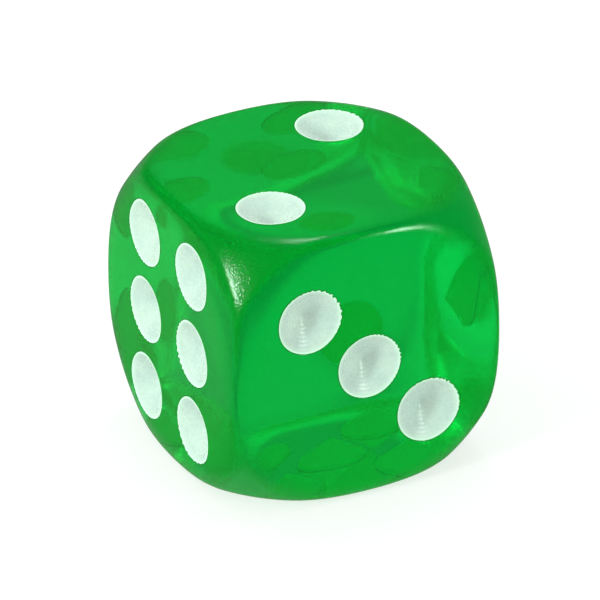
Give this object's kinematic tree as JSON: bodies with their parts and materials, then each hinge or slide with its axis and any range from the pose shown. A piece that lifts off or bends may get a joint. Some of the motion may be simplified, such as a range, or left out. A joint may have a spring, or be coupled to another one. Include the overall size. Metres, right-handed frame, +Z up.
{
  "type": "die",
  "caption": "Round-corner translucent green acrylic gaming die with drilled, white-painted pips, standing on its five face.",
  "frame": {"origin": "middle of the five face, which the die stands on", "axes": "+Z up through the two face, the three face looks along -Y, the six face along -X, the one face along +X, the four face along +Y"},
  "size_m": [0.016, 0.016, 0.016],
  "materials": {
    "green_acrylic": "tumble-polished translucent acrylic, tinted green right through",
    "pip_paint": "off-white semi-gloss enamel, a thin coat in each drilled cone"
  },
  "bodies": {
    "root": {"die_body": "green_acrylic", "pip_one_1": "pip_paint", "pip_two_1": "pip_paint", "pip_two_2": "pip_paint", "pip_three_1": "pip_paint", "pip_three_2": "pip_paint", "pip_three_3": "pip_paint", "pip_four_1": "pip_paint", "pip_four_2": "pip_paint", "pip_four_3": "pip_paint", "pip_four_4": "pip_paint", "pip_five_1": "pip_paint", "pip_five_2": "pip_paint", "pip_five_3": "pip_paint", "pip_five_4": "pip_paint", "pip_five_5": "pip_paint", "pip_six_1": "pip_paint", "pip_six_2": "pip_paint", "pip_six_3": "pip_paint", "pip_six_4": "pip_paint", "pip_six_5": "pip_paint", "pip_six_6": "pip_paint"}
  },
  "joints": []
}
